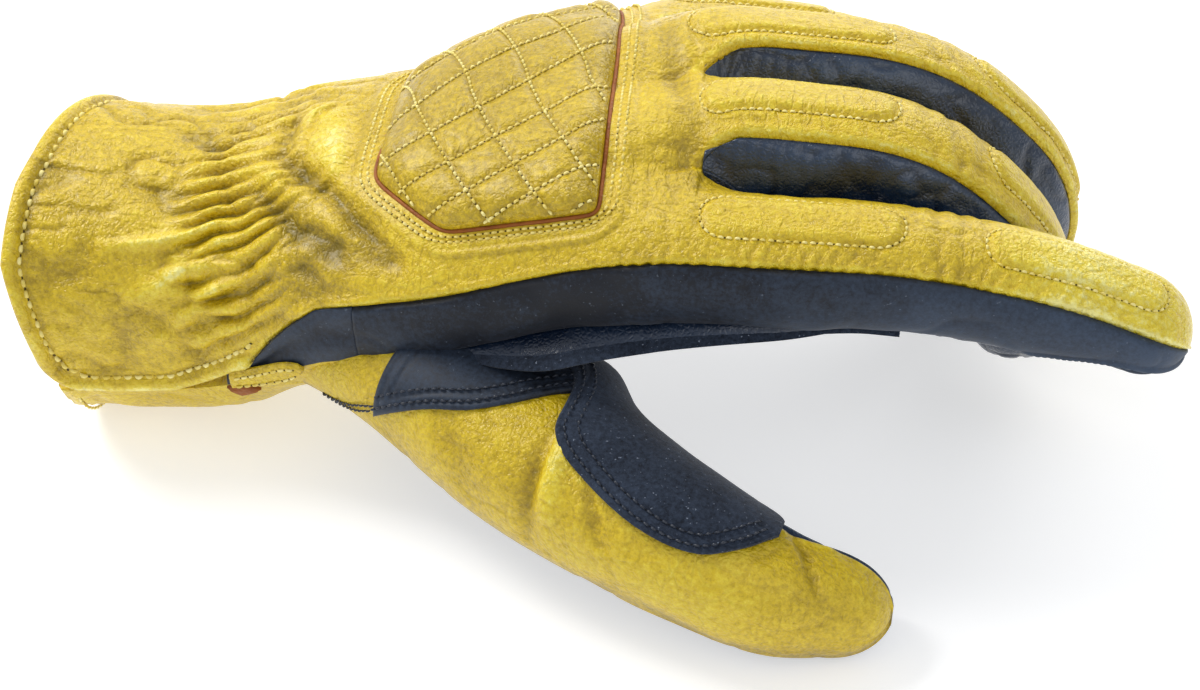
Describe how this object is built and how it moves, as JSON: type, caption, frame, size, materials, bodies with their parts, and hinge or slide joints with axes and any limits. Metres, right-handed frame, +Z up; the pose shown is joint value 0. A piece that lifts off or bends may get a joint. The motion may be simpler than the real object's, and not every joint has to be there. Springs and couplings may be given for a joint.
{
  "type": "motorcycle glove",
  "caption": "Left leather riding glove lying palm down, with a gathered wrist, a quilted knuckle pad and walls between the fingers.",
  "frame": {"origin": "middle of the flat where the cuff's underside rests on the table", "axes": "+X from the cuff to the fingertips, -Y to the thumb side, +Z up through the back of the hand"},
  "size_m": [0.2346, 0.1392, 0.08],
  "materials": {
    "yellow_leather": "soft creased grain",
    "black_leather": "soft pebbled grain",
    "black_suede": "speckled suede-like nap",
    "orange_leather": "smooth"
  },
  "bodies": {
    "root": {"back_shell": "yellow_leather", "fourchette_index_middle": "black_leather", "fourchette_middle_ring": "black_leather", "fourchette_ring_little": "black_leather", "little_side": "black_leather", "index_side": "black_leather", "palm": "black_leather", "heel_panel": "black_leather", "palm_cuff": "yellow_leather", "gusset": "black_leather", "thumb_shell": "yellow_leather", "thumb_inner": "black_leather", "thumb_patch": "black_suede", "palm_patch": "black_suede", "knuckle_pad": "yellow_leather", "pad_piping": "orange_leather", "wrist_strap": "yellow_leather", "side_tab": "orange_leather"}
  },
  "joints": []
}
